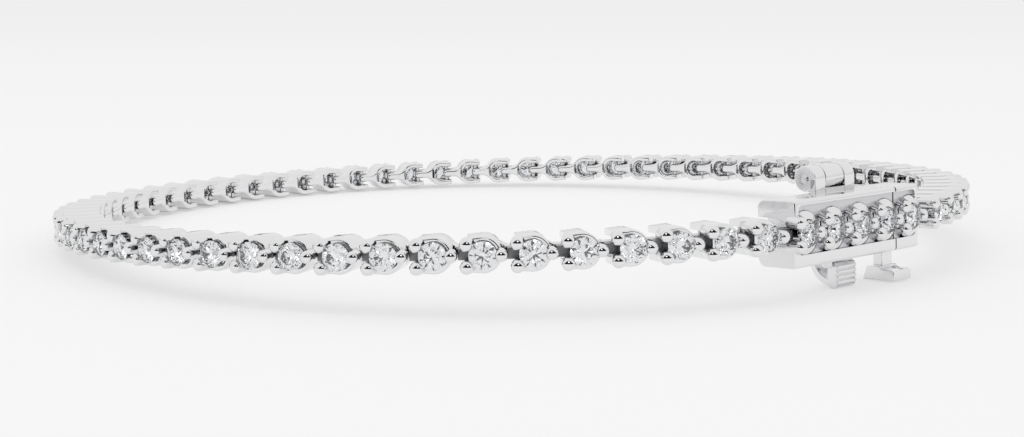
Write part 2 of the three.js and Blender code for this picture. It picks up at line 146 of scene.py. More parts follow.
# The latch and its hinge.
BARREL_OUT = -0.72
BARREL_UP = 2.63
BARREL_RADIUS = 0.75
BARREL_EDGE = 0.05
KNUCKLE_LENGTH = 0.95
KNUCKLE_GAP = 0.06
WIRE_PAST_KNUCKLE = 0.08
LATCH_START = -1.6
LATCH_END = 0.1
LATCH_OUT = -0.88
LATCH_THICKNESS = 0.35
THUMB_START = -1.65
THUMB_END = 0.15
THUMB_UNDER = -3.68
PEG_OUT = 0.3
PEG_BEFORE_LATCH = 0.42

# The studio, in metres: a black opening behind the camera with lamps about it.
FLOOR_REACH = 6.0
OPENING_Y = -0.26
OPENING_HALF_WIDTH = 0.36
OPENING_HEIGHT = 0.22
DISC_SIDES = 24
CAMERA_PLACE = (-0.000634, -0.118781, 0.01744)
CAMERA_TURN = (math.radians(90 - 7.817), math.radians(0.122), math.radians(-0.351))
CAMERA_LENS = 61.065


def length(name, description, millimetres):
    """A size that the sidebar shows in the scene's unit."""
    return FloatProperty(
        name=name, description=description, default=millimetres * MM, unit="LENGTH", precision=5
    )


def linear(code):
    """The linear colour of an sRGB hex value."""
    channels = [int(code[i : i + 2], 16) / 255 for i in (1, 3, 5)]
    return tuple(c / 12.92 if c <= 0.04045 else ((c + 0.055) / 1.055) ** 2.4 for c in channels)


def colour(name, description, code):
    """A colour that the sidebar shows as a swatch."""
    return FloatVectorProperty(
        name=name, description=description, default=linear(code), subtype="COLOR", min=0, max=1
    )


class StoneSizes(bpy.types.PropertyGroup):
    """The cut of the round brilliants."""

    radius: length("Radius", "Half the width at the girdle", 0.76)
    table: FloatProperty(
        name="Table", description="Table width as a share of the stone", default=0.57
    )
    crown: length("Crown", "Height of the crown above the girdle", 0.235)
    pavilion: length("Pavilion", "Depth of the pavilion below the girdle", 0.64)
    girdle: length("Girdle", "Thickness of the girdle", 0.035)
    seed: IntProperty(name="Seed", description="Seed for the turn of each stone", default=7)


class SettingSizes(bpy.types.PropertyGroup):
    """The polished metal round each stone."""

    pair_bead: length("Pair bead", "Radius of the two beads over the fork", 0.36)
    single_bead: length("Single bead", "Radius of the bead over the tail", 0.34)
    gallery_round: length("Gallery rounding", "Radius on top of the head's wall", 0.11)
    edge_round: length("Edge rounding", "Radius of the polished edges", 0.06)
    wrist_round: length("Wrist rounding", "Radius of the heads' edges on the wrist side", 0.13)
    bar_round: length("Bar rounding", "Radius of the bars' edges on the wrist side", 0.2)


class ClaspSizes(bpy.types.PropertyGroup):
    """The clasp's soft edges and the ribs on its latch."""

    edge_round: length("Edge rounding", "Radius of the box's edges", 0.09)
    rib_count: IntProperty(name="Ribs", description="Ribs on the latch's thumb block", default=4)
    rib_depth: length("Rib depth", "Depth of the grooves between the ribs", 0.13)
    tab_under: length("Tab under", "Height of the thumb tab's underside", -3.64)


class FinishColours(bpy.types.PropertyGroup):
    """The colours of the metal, the painted shade in its recesses, the stones and the floor."""

    gold: colour("White gold", "Rhodium plated white gold", "#EAEAEB")
    # The grey that the metal's colour is mixed towards in narrow recesses: painted shade.
    recess: colour("Painted recess shade", "White gold in narrow recesses", "#7C7C7F")
    wire: colour("Wire", "Drawn white gold wire", "#D6D6D8")
    diamond: colour("Diamond", "Colourless diamond", "#FDFEFF")
    floor: colour("Floor", "Pale sheet over a light box", "#B0B0B0")


# Nodes.


def add_node(tree, kind, inputs=None, **settings):
    """Adds a node, sets its properties, and sets or links its inputs."""
    node = tree.nodes.new(kind)
    for name, value in settings.items():
        setattr(node, name, value)
    for socket, value in (inputs or {}).items():
        if isinstance(value, bpy.types.NodeSocket):
            tree.links.new(value, node.inputs[socket])
        else:
            node.inputs[socket].default_value = value
    return node


def noise(tree, size, detail, distortion=0.0):
    """A noise pattern that stays with the object, with features of this many millimetres."""
    place = add_node(tree, "ShaderNodeTexCoord").outputs["Object"]
    inputs = {
        "Vector": place,
        "Scale": 1 / (size * MM),
        "Detail": detail,
        "Distortion": distortion,
    }
    return add_node(tree, "ShaderNodeTexNoise", inputs).outputs["Fac"]


def give_surface(tree, kind, inputs):
    """Adds a shader and joins it to the material's output."""
    shader = add_node(tree, kind, inputs)
    add_node(tree, "ShaderNodeOutputMaterial", {"Surface": shader.outputs[0]})


def rgba(channels):
    return (*channels, 1)


def new_material(name):
    material = bpy.data.materials.new(name)
    material.use_nodes = True
    material.node_tree.nodes.clear()
    return material, material.node_tree


def polished_gold(name, base, recess, roughness, bump, grain, hollow_size=0.5, open_from=0.55):
    """Cast white gold with a rhodium plate, polished on a wheel: a near-white mirror with faint
    swirls in its gloss, and painted shade that greys its colour in hollows and between parts."""
    material, tree = new_material(name)
    swirl = noise(tree, grain, 3.0, 1.2)
    gloss = add_node(
        tree,
        "ShaderNodeMapRange",
        {"Value": swirl, "To Min": roughness * 0.6, "To Max": roughness * 1.5},
    )
    # Painted shade: ambient occlusion mixes the colour towards the recess grey in hollows.
    hollow = add_node(tree, "ShaderNodeAmbientOcclusion", {"Distance": hollow_size * MM}, samples=6)
    reach = add_node(
        tree,
        "ShaderNodeMapRange",
        {"Value": hollow.outputs["AO"], "From Min": 0.05, "From Max": open_from},
        interpolation_type="SMOOTHSTEP",
    )
    shade = add_node(
        tree,
        "ShaderNodeMix",
        {"Factor": reach.outputs["Result"], MIX_A: rgba(recess), MIX_B: rgba(base)},
        data_type="RGBA",
    )
    dimple = add_node(
        tree,
        "ShaderNodeBump",
        {"Height": swirl, "Strength": bump, "Distance": 0.01 * MM},
    )
    give_surface(
        tree,
        "ShaderNodeBsdfPrincipled",
        {
            "Base Color": shade.outputs[MIX_RESULT],
            "Metallic": 1.0,
            "Roughness": gloss.outputs["Result"],
            "Normal": dimple.outputs["Normal"],
        },
    )
    return material


def cut_diamond(name, base):
    """Colourless diamond, faceted and polished: it bends light strongly, so each facet shows a
    different bright or dark part of what surrounds it. A faint cloud varies its tint."""
    material, tree = new_material(name)
    tint = add_node(
        tree,
        "ShaderNodeMix",
        {"Factor": noise(tree, 0.5, 1.0), MIX_A: rgba(base), MIX_B: rgba(linear("#F4F7FC"))},
        data_type="RGBA",
    )
    give_surface(
        tree,
        "ShaderNodeBsdfPrincipled",
        {
            "Base Color": tint.outputs[MIX_RESULT],
            "Roughness": 0.0,
            "IOR": 2.417,
            "Transmission Weight": 1.0,
        },
    )
    return material


def studio_floor(name, base):
    """Matt acrylic sheet over a lamp: shadows on it stay faint, and its far end is dimmer."""
    material, tree = new_material(name)
    gloss = add_node(
        tree,
        "ShaderNodeMapRange",
        {"Value": noise(tree, 60, 2.0), "To Min": 0.28, "To Max": 0.34},
    )
    place = add_node(tree, "ShaderNodeTexCoord").outputs["Object"]
    away = add_node(tree, "ShaderNodeVectorMath", {0: place}, operation="LENGTH")
    lamp = add_node(
        tree,
        "ShaderNodeMapRange",
        {
            "Value": away.outputs["Value"],
            "From Min": 0.04,
            "From Max": 0.5,
            "To Min": 0.485,
            "To Max": 0.475,
        },
    )
    give_surface(
        tree,
        "ShaderNodeBsdfPrincipled",
        {
            "Base Color": rgba(base),
            "Roughness": gloss.outputs["Result"],
            "Specular IOR Level": 0.0,
            "Emission Color": rgba(linear("#FFFFFF")),
            "Emission Strength": lamp.outputs["Result"],
        },
    )
    return material


def glow(name, channels, strength):
    """An even light or a dark cloth, which shows in the metal or the stones."""
    material, tree = new_material(name)
    give_surface(tree, "ShaderNodeEmission", {"Color": rgba(channels), "Strength": strength})
    return material


def material_named(name):
    """Each material is made once, when the first piece asks for it."""
    if name in bpy.data.materials:
        return bpy.data.materials[name]
    colours = bpy.context.scene.bracelet_colours
    if name == "cut diamond":
        return cut_diamond(name, colours.diamond)
    if name == "matt acrylic floor":
        return studio_floor(name, colours.floor)
    # Base, recess colour of painted shade, roughness, bump, grain, and where they differ, hollow
    # size and open from.
    finishes = {
        "polished white gold": (colours.gold, colours.recess, 0.07, 0.04, 0.35),
        "polished clasp gold": (colours.gold, linear("#D6D6D8"), 0.07, 0.04, 0.35, 0.8, 0.9),
        "drawn white gold wire": (colours.wire, colours.recess, 0.2, 0.1, 0.12),
        # Painted shade: a dark grey gold, darker still in its hollows, on the risers inside the
        # forks.
        "painted shade gold": (linear("#A6A6A9"), linear("#58585B"), 0.3, 0.1, 0.2, 0.8, 0.9),
        # Painted light: a lighter, smoother gold for the stones' seats, so that the stones show
        # brighter.
        "lightened seat gold": (linear("#FBFBFC"), linear("#E2E2E4"), 0.05, 0.02, 0.2),
        # Brushed gold whose darker colour is painted shade on the floor of the recess under the
        # lip.
        "brushed shaded recess gold": (linear("#D4D4D7"), linear("#C0C0C4"), 0.22, 0.06, 0.2, 0.45, 1.0),
    }
    return polished_gold(name, *finishes[name])


# Shapes, as closed shells in a bmesh.


def skin(bm, sections, ends=True, ring=False):
    """Joins equal closed sections of points into one closed shell, with its ends covered or met."""
    loops = [[bm.verts.new(point) for point in section] for section in sections]
    faces = []
    if ring:
        loops.append(loops[0])
    for low, high in zip(loops, loops[1:]):
        for i, first in enumerate(low):
            after = (i + 1) % len(low)
            faces.append(bm.faces.new((first, low[after], high[after], high[i])))
    if ends:
        faces.append(bm.faces.new(list(reversed(loops[0]))))
        faces.append(bm.faces.new(loops[-1]))
    return faces


def inset(outline, distance):
    """Moves each side of a closed anticlockwise outline inwards by a distance."""
    moved = []
    for i, here in enumerate(outline):
        before = Vector(here) - Vector(outline[i - 1])
        after = Vector(outline[(i + 1) % len(outline)]) - Vector(here)
        first = Vector((-before.y, before.x)).normalized()
        second = Vector((-after.y, after.x)).normalized()
        middle = (first + second).normalized()
        share = max(middle.dot(first), 0.5)
        moved.append(tuple(Vector(here) + middle * distance / share))
    return moved


def arc(centre, radius, start, end, steps):
    """Points on an arc, with its angles in degrees."""
    angles = [math.radians(start + (end - start) * i / steps) for i in range(steps + 1)]
    return [(centre[0] + radius * math.cos(a), centre[1] + radius * math.sin(a)) for a in angles]


def rounded_levels(low, high, low_round, high_round, steps):
    """Pairs of level and inset that round an extrusion's two edges, with a flat rim inside each."""
    rim = 0.012
    bends = []
    for step in range(steps + 1):
        angle = math.radians(90 * step / steps)
        bends.append((1 - math.sin(angle), 1 - math.cos(angle)))
    rise = [(low + low_round * lift, low_round * inwards) for lift, inwards in reversed(bends)]
    fall = [(high - high_round * lift, high_round * inwards) for lift, inwards in bends]
    return [(low, low_round + rim), *rise, *fall, (high, high_round + rim)]


def extrude_out(bm, outline, low, high, low_round, high_round, steps=3):
    """Extrudes an outline of (along, up) points outwards, with rounded edges."""
    sections = []
    for level, distance in rounded_levels(low, high, low_round, high_round, steps):
        sections.append([(level, along, up) for along, up in inset(outline, distance)])
    return skin(bm, sections)


def extrude_along(bm, outline, low, high, low_round, high_round, steps=3):
    """Extrudes an outline of (out, up) points along the chain, with rounded edges."""
    sections = []
    for level, distance in rounded_levels(low, high, low_round, high_round, steps):
        sections.append([(out, level, up) for out, up in inset(outline, distance)])
    return skin(bm, sections)


def turned(bm, profile, foot, tip, sides):
    """Turns a profile of (share of the way, radius) pairs about the line from foot to tip."""
    foot, tip = Vector(foot), Vector(tip)
    axis = (tip - foot).normalized()
    side = axis.orthogonal().normalized()
    other = axis.cross(side)
    sections = []
    for share, radius in profile:
        middle = foot.lerp(tip, share)
        section = []
        for i in range(sides):
            turn = 2 * math.pi * i / sides
            section.append(middle + radius * (math.cos(turn) * side + math.sin(turn) * other))
        sections.append(section)
    return skin(bm, sections)


def block(bm, out_range, along_range, up_range):
    """A plain block between two levels in each direction."""
    low, high = out_range
    outline = [
        (along_range[0], up_range[0]),
        (along_range[1], up_range[0]),
        (along_range[1], up_range[1]),
        (along_range[0], up_range[1]),
    ]
    return skin(bm, [[(level, *point) for point in outline] for level in (low, high)])


def bead(bm, foot, tip, radius, flare=0.8, sides=16):
    """A prong: a leaning boss that ends in a flattened bead over the stone's edge."""
    reach = (Vector(tip) - Vector(foot)).length
    ball = 1 - BEAD_RISE * radius / reach
    neck = [
        (0.0, radius * flare),
        (ball * 0.4, radius * (1 + flare) / 1.8),
        (ball * 0.8, radius * 1.06),
    ]
    angles = [math.radians(a) for a in (0, 16, 32, 48, 62, 76, 86)]
    dome = [(ball + (1 - ball) * math.sin(a), radius * math.cos(a)) for a in angles]
    return turned(bm, neck + dome, foot, tip, sides)


def setting_beads(bm, along, sizes, foot_out=0.7, foot_up=0.6, flare=0.8):
    """The pair of beads over the fork and the single bead over the tail."""
    pair = sizes.pair_bead / MM
    single = sizes.single_bead / MM
    for side in (-1, 1):
        foot = (foot_out, along + PAIR_FOOT_ALONG, side * foot_up)
        bead(bm, foot, (BEAD_TOP, along + PAIR_TIP_ALONG, side * PAIR_TIP_UP), pair, flare)
    foot = (foot_out, along + SINGLE_FOOT_ALONG, 0)
    bead(bm, foot, (BEAD_TOP, along + SINGLE_TIP_ALONG, 0), single)


def smooth_by_angle(bm, degrees=38):
    """Smooth faces, with sharp edges kept where two faces meet at more than an angle."""
    limit = math.radians(degrees)
    for face in bm.faces:
        face.smooth = True
    for edge in bm.edges:
        edge.smooth = edge.is_manifold and edge.calc_face_angle(0) < limit


def mesh_from(bm, name, degrees=38):
    """Closes the bmesh into a mesh whose faces point outwards."""
    bmesh.ops.recalc_face_normals(bm, faces=bm.faces)
    smooth_by_angle(bm, degrees)
    mesh = bpy.data.meshes.new(name)
    bm.to_mesh(mesh)
    bm.free()
    return mesh


def object_from(mesh, name):
    obj = bpy.data.objects.new(name, mesh)
    bpy.context.scene.collection.objects.link(obj)
    return obj


def applied(obj, name):
    """Turns an object with its modifiers into a plain mesh, and removes the object."""
    depsgraph = bpy.context.evaluated_depsgraph_get()
    mesh = bpy.data.meshes.new_from_object(obj.evaluated_get(depsgraph))
    mesh.name = name
    bpy.data.objects.remove(obj)
    return mesh


def carved(body, cutters, edge_round, name):
    """Takes the cutters' space out of a body, then rounds every edge that is left."""
    obj = object_from(body, name)
    tools = [object_from(cutter, "cutter") for cutter in cutters]
    for tool in tools:
        cut = obj.modifiers.new("cut", "BOOLEAN")
        cut.object = tool
        cut.operation = "DIFFERENCE"
        cut.solver = "EXACT"
    soften = obj.modifiers.new("soften", "BEVEL")
    soften.width = edge_round
    soften.segments = 3
    soften.limit_method = "ANGLE"
    soften.angle_limit = math.radians(40)
    soften.harden_normals = True
    for polygon in obj.data.polygons:
        polygon.use_smooth = True
    mesh = applied(obj, name)
    for tool in tools:
        bpy.data.objects.remove(tool)
    return mesh


def joined(meshes, name):
    """Several meshes as one, with their shading kept."""
    objects = [object_from(mesh, name) for mesh in meshes]
    with bpy.context.temp_override(
        active_object=objects[0], selected_editable_objects=objects, object=objects[0]
    ):
        bpy.ops.object.join()
    mesh = objects[0].data
    bpy.data.objects.remove(objects[0])
    return mesh


def put(mesh, name, place, body, nodes, material=None):
    """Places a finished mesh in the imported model's space and says what it stands for."""
    mesh.transform(place)
    if material:
        mesh.materials.clear()
        mesh.materials.append(material_named(material))
    obj = object_from(mesh, name)
    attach(obj, body)
    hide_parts(*nodes)
    return obj


# Stones and links.


def brilliant(sizes, name):
    """A round brilliant about its own girdle, its table facing out: table, eight stars, eight
    bezels, sixteen upper and sixteen lower girdle facets and eight pavilion mains."""
    radius = sizes.radius / MM
    crown = sizes.crown / MM
    depth = sizes.pavilion / MM
    half_girdle = sizes.girdle / MM / 2
    table = radius * sizes.table
    sixteenth = math.pi / 8
    star = (table * math.cos(sixteenth) + radius) / 2
    star_lift = crown * (1 - (star * math.cos(sixteenth) - table) / (radius - table))
    lower = radius * 0.24
    lower_drop = depth * (1 - lower * math.cos(sixteenth) / radius)
    bm = bmesh.new()

    def ring(count, ring_radius, out, turn):
        points = []
        for i in range(count):
            angle = turn + 2 * math.pi * i / count
            along, up = ring_radius * math.cos(angle), ring_radius * math.sin(angle)
            points.append(bm.verts.new((out, along, up)))
        return points

    tables = ring(8, table, half_girdle + crown, 0)
    stars = ring(8, star, half_girdle + star_lift, sixteenth)
    tops = ring(16, radius, half_girdle, 0)
    unders = ring(16, radius, -half_girdle, 0)
    mains = ring(8, lower, -half_girdle - lower_drop, sixteenth)
    culet = bm.verts.new((-half_girdle - depth, 0, 0))
    bm.faces.new(tables)
    for i in range(8):
        after = (i + 1) % 8
        here, middle, there = 2 * i, 2 * i + 1, (2 * i + 2) % 16
        bm.faces.new((tables[i], stars[i], tables[after]))
        bm.faces.new((tables[i], stars[i - 1], tops[here], stars[i]))
        bm.faces.new((stars[i], tops[here], tops[middle]))
        bm.faces.new((stars[i], tops[middle], tops[there]))
        bm.faces.new((mains[i], unders[here], unders[middle]))
        bm.faces.new((mains[i], unders[middle], unders[there]))
        bm.faces.new((culet, mains[i - 1], unders[here], mains[i]))
        bm.faces.new((tops[here], unders[here], unders[middle], tops[middle]))
        bm.faces.new((tops[middle], unders[middle], unders[there], tops[there]))
    bmesh.ops.rotate(bm, verts=bm.verts, matrix=Matrix.Rotation(sixteenth, 3, "X"))
    return mesh_from(bm, name, degrees=1)


def head_outline():
    """The fork head's outline of (along, up) points: a ring that opens into two arms."""
    centre = (HEAD_ALONG, 0)
    return [
        (ARM_TIP, -ARM_OUTER),
        *arc(centre, HEAD_RADIUS, -102, 102, 30),
        (ARM_TIP, ARM_OUTER),
        (ARM_TIP, ARM_INNER),
        *arc(centre, HOLE_RADIUS, 111, -111, 26),
        (ARM_TIP, -ARM_INNER),
    ]


def bar_outline(start, end):
    """The tail bar's outline of (along, up) points, which flares into the head."""
    flare_length = 0.75
    flare_width = 0.4
    flare = []
    for share in (0, 0.2, 0.4, 0.6, 0.8, 1):
        half_width = BAR_HALF_WIDTH + flare_width * (1 - share) ** 2
        flare.append((start + flare_length * share, half_width))
    corner = 0.25
    upper = [*flare, *arc((end - corner, BAR_HALF_WIDTH - corner), corner, 90, 0, 3)]
    return [(along, -up) for along, up in upper] + list(reversed(upper))


def link_metal(sizes):
    """One link's metal, from the pin of its fork to the pin of its tail one pitch along."""
    bm = bmesh.new()
    edge = sizes.edge_round / MM
    wrist_round = sizes.wrist_round / MM
    gallery_round = sizes.gallery_round / MM
    bar_round = sizes.bar_round / MM
    extrude_out(bm, head_outline(), WRIST_FACE, GALLERY_TOP, wrist_round, gallery_round, 4)
    extrude_out(bm, bar_outline(BAR_START, BAR_END), WRIST_FACE, BAR_TOP, bar_round, edge, 4)
    wire = [(0, PIN_RADIUS), (1, PIN_RADIUS)]
    turned(bm, wire, (0, 0, -PIN_HALF_LENGTH), (0, 0, PIN_HALF_LENGTH), 12)
    setting_beads(bm, HEAD_ALONG, sizes)
    return mesh_from(bm, "link")


def link_riser(sizes):
    """The thick end of a link's bar, which fills the next link's fork; its dark grey is painted
    shade.
    """
    bm = bmesh.new()
    edge = sizes.edge_round / MM
    low, high = RISER_ALONG
    half = RISER_HALF_WIDTH
    outline = [(low, -half), (high, -half), (high, half), (low, half)]
    extrude_out(bm, outline, *RISER_LEVELS, edge, edge)
    return mesh_from(bm, "riser")


def chain_tree():
    """The geometry nodes that set links and their stones round the pin circle."""
    tree = bpy.data.node_groups.new("chain of links", "GeometryNodeTree")
    sockets = [
        ("Link", "NodeSocketObject"),
        ("Riser", "NodeSocketObject"),
        ("Stone", "NodeSocketObject"),
        ("Links", "NodeSocketInt"),
        ("First link", "NodeSocketInt"),
        ("Pin circle", "NodeSocketFloat"),
        ("Start azimuth", "NodeSocketFloat"),
        ("Step", "NodeSocketFloat"),
        ("Stone out", "NodeSocketFloat"),
        ("Stone along", "NodeSocketFloat"),
        ("Seed", "NodeSocketInt"),
        ("Metal", "NodeSocketMaterial"),
        ("Painted shade metal", "NodeSocketMaterial"),
        ("Gem", "NodeSocketMaterial"),
    ]
    tree.interface.new_socket("Geometry", in_out="INPUT", socket_type="NodeSocketGeometry")
    for name, kind in sockets:
        tree.interface.new_socket(name, in_out="INPUT", socket_type=kind)
    tree.interface.new_socket("Geometry", in_out="OUTPUT", socket_type="NodeSocketGeometry")
    given = add_node(tree, "NodeGroupInput").outputs

    def sums(operation, first, second):
        node = add_node(tree, "ShaderNodeMath", {0: first, 1: second}, operation=operation)
        return node.outputs[0]

    def circle(radius, angle):
        cosine = add_node(tree, "ShaderNodeMath", {0: angle}, operation="COSINE").outputs[0]
        sine = add_node(tree, "ShaderNodeMath", {0: angle}, operation="SINE").outputs[0]
        return add_node(
            tree,
            "ShaderNodeCombineXYZ",
            {"X": sums("MULTIPLY", radius, cosine), "Y": sums("MULTIPLY", radius, sine)},
        ).outputs[0]

    index = add_node(tree, "GeometryNodeInputIndex").outputs[0]
    number = sums("ADD", index, given["First link"])
    azimuth = sums("ADD", sums("MULTIPLY", number, given["Step"]), given["Start azimuth"])
    pin_azimuth = sums("SUBTRACT", azimuth, sums("MULTIPLY", given["Step"], 0.5))
    pin = circle(given["Pin circle"], pin_azimuth)
    outwards = circle(given["Stone out"], azimuth)
    onwards = circle(given["Stone along"], sums("ADD", azimuth, math.pi / 2))
    seat = add_node(tree, "ShaderNodeVectorMath", {0: pin, 1: outwards}, operation="ADD").outputs[0]
    seat = add_node(tree, "ShaderNodeVectorMath", {0: seat, 1: onwards}, operation="ADD").outputs[0]
    spin = add_node(
        tree,
        "FunctionNodeRandomValue",
        {"ID": number, "Seed": given["Seed"], RANDOM_MIN: 0.0, RANDOM_MAX: math.pi / 4},
        data_type="FLOAT",
    ).outputs[RANDOM_VALUE]
    straight = add_node(tree, "ShaderNodeCombineXYZ", {"Z": azimuth}).outputs[0]
    spun = add_node(tree, "ShaderNodeCombineXYZ", {"X": spin, "Z": azimuth}).outputs[0]

    def run(shape, position, rotation, material):
        info = add_node(tree, "GeometryNodeObjectInfo", {"Object": given[shape]})
        points = add_node(
            tree, "GeometryNodePoints", {"Count": given["Links"], "Position": position}
        )
        placed = add_node(
            tree,
            "GeometryNodeInstanceOnPoints",
            {
                "Points": points.outputs[0],
                "Instance": info.outputs["Geometry"],
                "Rotation": rotation,
            },
        )
        real = add_node(tree, "GeometryNodeRealizeInstances", {"Geometry": placed.outputs[0]})
        return add_node(
            tree,
            "GeometryNodeSetMaterial",
            {"Geometry": real.outputs[0], "Material": given[material]},
        ).outputs[0]

    both = add_node(tree, "GeometryNodeJoinGeometry")
    tree.links.new(run("Link", pin, straight, "Metal"), both.inputs[0])
    # The risers take the dark grey gold of painted shade.
    tree.links.new(run("Riser", pin, straight, "Painted shade metal"), both.inputs[0])
    tree.links.new(run("Stone", seat, spun, "Gem"), both.inputs[0])
    add_node(tree, "NodeGroupOutput", {0: both.outputs[0]})
    return tree


def chain_mesh(name, first, count, link, riser, gem, tree, seed):
    """Runs the tree for one half of the chain and takes the result as a plain mesh."""
    obj = object_from(bpy.data.meshes.new(name), name)
    modifier = obj.modifiers.new("chain", "NODES")
    modifier.node_group = tree
    values = {
        "Link": link,
        "Riser": riser,
        "Stone": gem,
        "Links": count,
        "First link": first,
        "Pin circle": PIN_CIRCLE,
        "Start azimuth": CLASP_AZIMUTH + CLASP_HALF_ANGLE + LINK_STEP / 2,
        "Step": LINK_STEP,
        "Stone out": GIRDLE_OUT,
        "Stone along": HEAD_ALONG,
        "Seed": seed,
        "Metal": material_named("polished white gold"),
        # Dark grey gold of painted shade, for the risers.
        "Painted shade metal": material_named("painted shade gold"),
        "Gem": material_named("cut diamond"),
    }
    for item in tree.interface.items_tree:
        if item.item_type == "SOCKET" and item.in_out == "INPUT" and item.name in values:
            modifier[item.identifier] = values[item.name]
    return applied(obj, name)


class BRACELET_OT_link_chains(bpy.types.Operator):
    """Make the two halves of the chain, each with its stones set"""

    bl_idname = "bracelet.link_chains"
    bl_label = "Link chains"

    def execute(self, context):
        scene = context.scene
        link = object_from(link_metal(scene.bracelet_setting), "link")
        gem = object_from(brilliant(scene.bracelet_stone, "link stone"), "link stone")
        riser = object_from(link_riser(scene.bracelet_setting), "riser")
        tree = chain_tree()
        halves = [
            ("link_chain_1", 0, FIRST_HALF_COUNT),
            ("link_chain_2", FIRST_HALF_COUNT, LINK_COUNT - FIRST_HALF_COUNT),
        ]
        for node, first, count in halves:
            mesh = chain_mesh(node, first, count, link, riser, gem, tree, scene.bracelet_stone.seed)
            put(mesh, f"{node}_set", LOOP_PLACE, "bracelet", [node])
        for spare in (link, riser, gem):
            bpy.data.objects.remove(spare)
        bpy.data.node_groups.remove(tree)
        return {"FINISHED"}


# The clasp.


def clasp_section():
    """The clasp's section of (out, up) points, anticlockwise, wider on the wrist side."""
    wrist_corner = 0.5
    outer_corner = 0.18
    wrist = BOX_WRIST_FACE + wrist_corner
    wrist_up = BOX_HALF_HEIGHT - wrist_corner
    outer = BOX_OUTER_FACE - outer_corner
    outer_up = BOX_HALF_HEIGHT - outer_corner
    return [
        *arc((wrist, -wrist_up), wrist_corner, 180, 270, 8),
        *arc((outer, -outer_up), outer_corner, 270, 360, 5),
        *arc((outer, outer_up), outer_corner, 0, 90, 5),
        *arc((wrist, wrist_up), wrist_corner, 90, 180, 8),
    ]


def clasp_body(low, high, low_round, high_round):
    """A length of the clasp's body, with its two ends rounded."""
    bm = bmesh.new()
    extrude_along(bm, clasp_section(), low, high, low_round, high_round)
    return mesh_from(bm, "clasp body")


def cutter(build):
    """A closed shape to take out of a body."""
    bm = bmesh.new()
    build(bm)
    bmesh.ops.recalc_face_normals(bm, faces=bm.faces)
    mesh = bpy.data.meshes.new("cutter")
    bm.to_mesh(mesh)
    bm.free()
    return mesh


def collar(bm, along, opening):
    """The foot of a clasp setting: a dome with a seat for the stone, and a slot in degrees."""
    base = [(1.4, 0.6), (1.4, 1.3), (1.52, 1.3)]
    dome = [(1.58, 1.29), (1.65, 1.24), (1.7, 1.16), (1.74, 1.06), (1.78, 0.94), (1.82, 0.84)]
    seat = [(1.84, 0.8), (1.82, 0.76), (1.65, 0.66)]
    profile = [*base, *dome, *seat]
    steps = 40
    sections = []
    for i in range(steps + 1):
        angle = math.radians(180 + opening / 2 + (360 - opening) * i / steps)
        cosine, sine = math.cos(angle), math.sin(angle)
        sections.append([(out, along + radius * cosine, radius * sine) for out, radius in profile])
    if opening == 0:
        return skin(bm, sections[:-1], ends=False, ring=True)
    return skin(bm, sections)


def give_clasp_materials(mesh):
    """Gives a mesh the clasp's three finishes, in their order."""
    for name in CLASP_MATERIALS:
        mesh.materials.append(material_named(name))
    return mesh


def from_stone(point, places):
    """How far a point is from the middle line of the nearest stone."""
    return min(math.hypot(point.y - along, point.z) for along in places)


def clasp_settings(places, sizes):
    """The collars and beads that hold the clasp's stones, with their seats in a lighter gold that
    paints light under the stones.
    """
    bm = bmesh.new()
    for along in places:
        collar(bm, along, FIRST_SETTING_SLOT if along == CLASP_STONES[0] else 0)
    for face in bm.faces:
        if from_stone(face.calc_center_median(), places) < SEAT_RADIUS:
            # The seats' faces take the lighter gold: painted light under the stones.
            face.material_index = LIGHTENED_SEAT
    for along in places:
        setting_beads(bm, along, sizes, foot_out=1.2, foot_up=0.78, flare=1.3)
    return give_clasp_materials(mesh_from(bm, "clasp settings"))


def stone_seat(bm, along):
    """A conical seat under a stone, cut into the floor of the recess."""
    turned(bm, [(0, 0.1), (1, SEAT_RADIUS)], (SEAT_BOTTOM, along, 0), (1.7, along, 0), 24)


def barrel(bm, start, end):
    """A knuckle of the hinge, with softened ends."""
    radius, edge = BARREL_RADIUS, BARREL_EDGE
    soft = edge / (end - start)
    profile = [
        (0, radius - 1.6 * edge),
        (0, radius - edge),
        (soft * 0.3, radius - edge * 0.3),
        (soft, radius),
        (1 - soft, radius),
        (1 - soft * 0.3, radius - edge * 0.3),
        (1, radius - edge),
        (1, radius - 1.6 * edge),
    ]
    return turned(bm, profile, (BARREL_OUT, start, BARREL_UP), (BARREL_OUT, end, BARREL_UP), 40)


def tail_mouth(bm):
    """The mouth in the box's end that the last link's tail enters, with a wavy upper edge."""
    under = [(-2, -0.72), (1.3, -0.66), (2.5, -0.66)]
    wave = [(2.5, 0.4), (1.4, 0.5), (0.9, 0.72), (0.3, 0.86), (-2, 0.92)]
    ends = (BOX_START - 1, BOX_START + 0.9)
    return skin(bm, [[(out, along, up) for out, up in under + wave] for along in ends])


def recess(bm, start, end):
    """The shallow recess in the clasp's outer face, with round corners."""
    corner = 0.3
    low, high = start + corner, end - corner
    under, top = RECESS_UNDER + corner, RECESS_TOP - corner
    outline = [
        *arc((low, under), corner, 180, 270, 6),
        *arc((high, under), corner, 270, 360, 6),
        *arc((high, top), corner, 0, 90, 6),
        *arc((low, top), corner, 90, 180, 6),
    ]
    return skin(bm, [[(level, *point) for point in outline] for level in (RECESS_FLOOR, 3)])


def with_clasp_finishes(mesh):
    """Polished gold; brushed with painted shade on the recess floor; painted light in the seats."""
    mesh.materials.clear()
    for polygon in mesh.polygons:
        centre = polygon.center
        on_floor = abs(centre.x - RECESS_FLOOR) < 0.02 and polygon.normal.x > 0.9
        below_floor = SEAT_BOTTOM - 0.01 < centre.x < RECESS_FLOOR - 0.02
        in_seat = below_floor and from_stone(centre, CLASP_STONES) < SEAT_RADIUS
        # Seats take the lighter gold as painted light; the recess floor takes brushed gold darkened
        # as painted shade.
        polygon.material_index = LIGHTENED_SEAT if in_seat else BRUSHED_SHADED if on_floor else POLISHED
    return give_clasp_materials(mesh)


